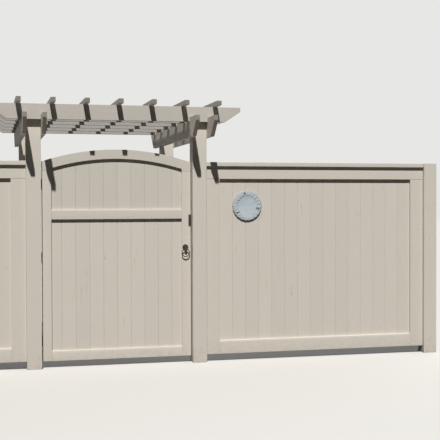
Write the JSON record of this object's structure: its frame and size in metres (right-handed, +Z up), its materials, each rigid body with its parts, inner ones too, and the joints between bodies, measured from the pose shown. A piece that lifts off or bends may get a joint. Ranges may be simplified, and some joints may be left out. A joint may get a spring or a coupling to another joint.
{
  "type": "arch-topped garden gate with arbor and fence bays",
  "caption": "Arch-topped framed board gate with a ring handle, hung between square posts under an open garden arbor, with a matching board fence bay on each side.",
  "frame": {"origin": "on the ground in the middle of the arbor's plan, which is the middle of the gateway from left to right", "axes": "+X to the right seen from the path, along the fence; +Y through the gate into the arbor; +Z up"},
  "size_m": [6.656, 2.484, 2.547],
  "materials": {
    "painted_timber": "matt taupe paint on sawn and planed softwood",
    "black_iron": "black paint over cast iron",
    "cast_plaque": "weathered grey-blue casting"
  },
  "bodies": {
    "frame": {"front_left_post": "painted_timber", "front_right_post": "painted_timber", "rear_left_post": "painted_timber", "rear_right_post": "painted_timber", "front_beam": "painted_timber", "joist_1": "painted_timber", "joist_2": "painted_timber", "joist_3": "painted_timber", "joist_4": "painted_timber", "rear_beam": "painted_timber", "left_outer_side_board": "painted_timber", "left_inner_side_board": "painted_timber", "right_inner_side_board": "painted_timber", "right_outer_side_board": "painted_timber", "purlin_1": "painted_timber", "purlin_2": "painted_timber", "purlin_3": "painted_timber", "purlin_4": "painted_timber", "purlin_5": "painted_timber", "purlin_6": "painted_timber", "purlin_7": "painted_timber", "left_fence_panel": "painted_timber", "left_fence_cap": "painted_timber", "left_end_post": "painted_timber", "right_fence_panel": "painted_timber", "right_fence_cap": "painted_timber", "right_end_post": "painted_timber", "plaque": "cast_plaque", "post_hinge_leaves": "black_iron", "latch_keeper": "black_iron"},
    "gate": {"gate_arch_rail": "painted_timber", "gate_hinge_stile": "painted_timber", "gate_latch_stile": "painted_timber", "gate_mid_rail": "painted_timber", "gate_bottom_rail": "painted_timber", "gate_upper_boards": "painted_timber", "gate_lower_boards": "painted_timber", "gate_hinge_leaves": "black_iron", "handle_roses": "black_iron", "guard_plate": "black_iron"},
    "handle": {"handle_spindle": "black_iron", "latch_bar": "black_iron"},
    "ring": {"handle_ring": "black_iron"}
  },
  "joints": [
    {"name": "gate_swing", "type": "hinge", "parent": "frame", "child": "gate", "pos_m": [-0.723, -0.7875, 1.05], "axis": [0, 0, 1], "range_deg": [0, 90]},
    {"name": "handle_turn", "type": "hinge", "parent": "gate", "child": "handle", "pos_m": [0.666, -0.855, 1.133], "axis": [0, -1, 0], "range_deg": [0, 22]},
    {"name": "ring_lift", "type": "hinge", "parent": "handle", "child": "ring", "pos_m": [0.666, -0.875, 1.115], "axis": [-1, 0, 0], "range_deg": [0, 80]}
  ]
}
